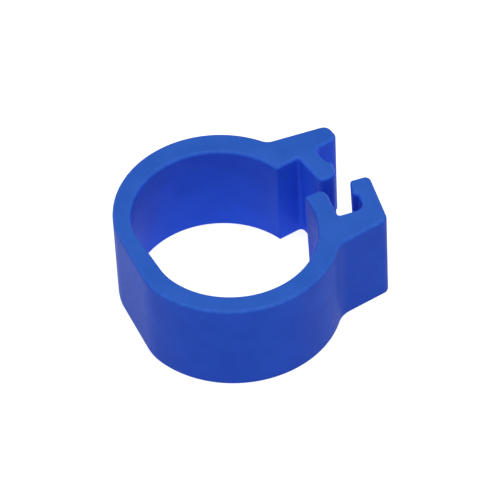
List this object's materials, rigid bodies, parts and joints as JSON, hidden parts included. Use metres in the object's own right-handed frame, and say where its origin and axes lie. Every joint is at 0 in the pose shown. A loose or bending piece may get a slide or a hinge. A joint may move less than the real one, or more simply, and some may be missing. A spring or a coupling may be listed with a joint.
{
  "type": "clip-on leg band",
  "caption": "Open C-shaped plastic leg ring with a straight flexing web, a hooked arm with a snap leg, and a slotted socket between two prongs.",
  "frame": {"origin": "on the axis of the leg hole, at the band's bottom edge", "axes": "+Z along the axis of the leg hole, +X from the ring to the clasp, +Y to the hook half"},
  "size_m": [0.0245, 0.0233, 0.01],
  "materials": {
    "blue_plastic": "satin, as moulded"
  },
  "bodies": {
    "socket_half": {"socket_band": "blue_plastic", "socket_arm": "blue_plastic", "flex_web": "blue_plastic"},
    "hook_half": {"hook_band": "blue_plastic", "hook_arm": "blue_plastic", "snap_leg": "blue_plastic"},
    "guide": {"guide_prong": "blue_plastic"},
    "latch": {"latch_prong": "blue_plastic"}
  },
  "joints": [
    {"name": "band_flex", "type": "hinge", "parent": "socket_half", "child": "hook_half", "pos_m": [-0.0089, 0, 0], "axis": [0, 0, 1], "range_deg": [-13.5, 35], "stiffness_Nm_per_rad": 0.6, "deforming": ["flex_web", "guide_prong", "latch_prong"]},
    {"name": "guide_flex", "type": "hinge", "parent": "socket_half", "child": "guide", "pos_m": [0.0091, -0.0018, 0], "axis": [0, 0, 1], "range_deg": [0, 4], "stiffness_Nm_per_rad": 0.6, "deforming": ["guide_prong"]},
    {"name": "latch_flex", "type": "hinge", "parent": "socket_half", "child": "latch", "pos_m": [0.0134, -0.0013, 0], "axis": [0, 0, -1], "range_deg": [0, 6], "stiffness_Nm_per_rad": 0.6, "deforming": ["latch_prong"]}
  ]
}
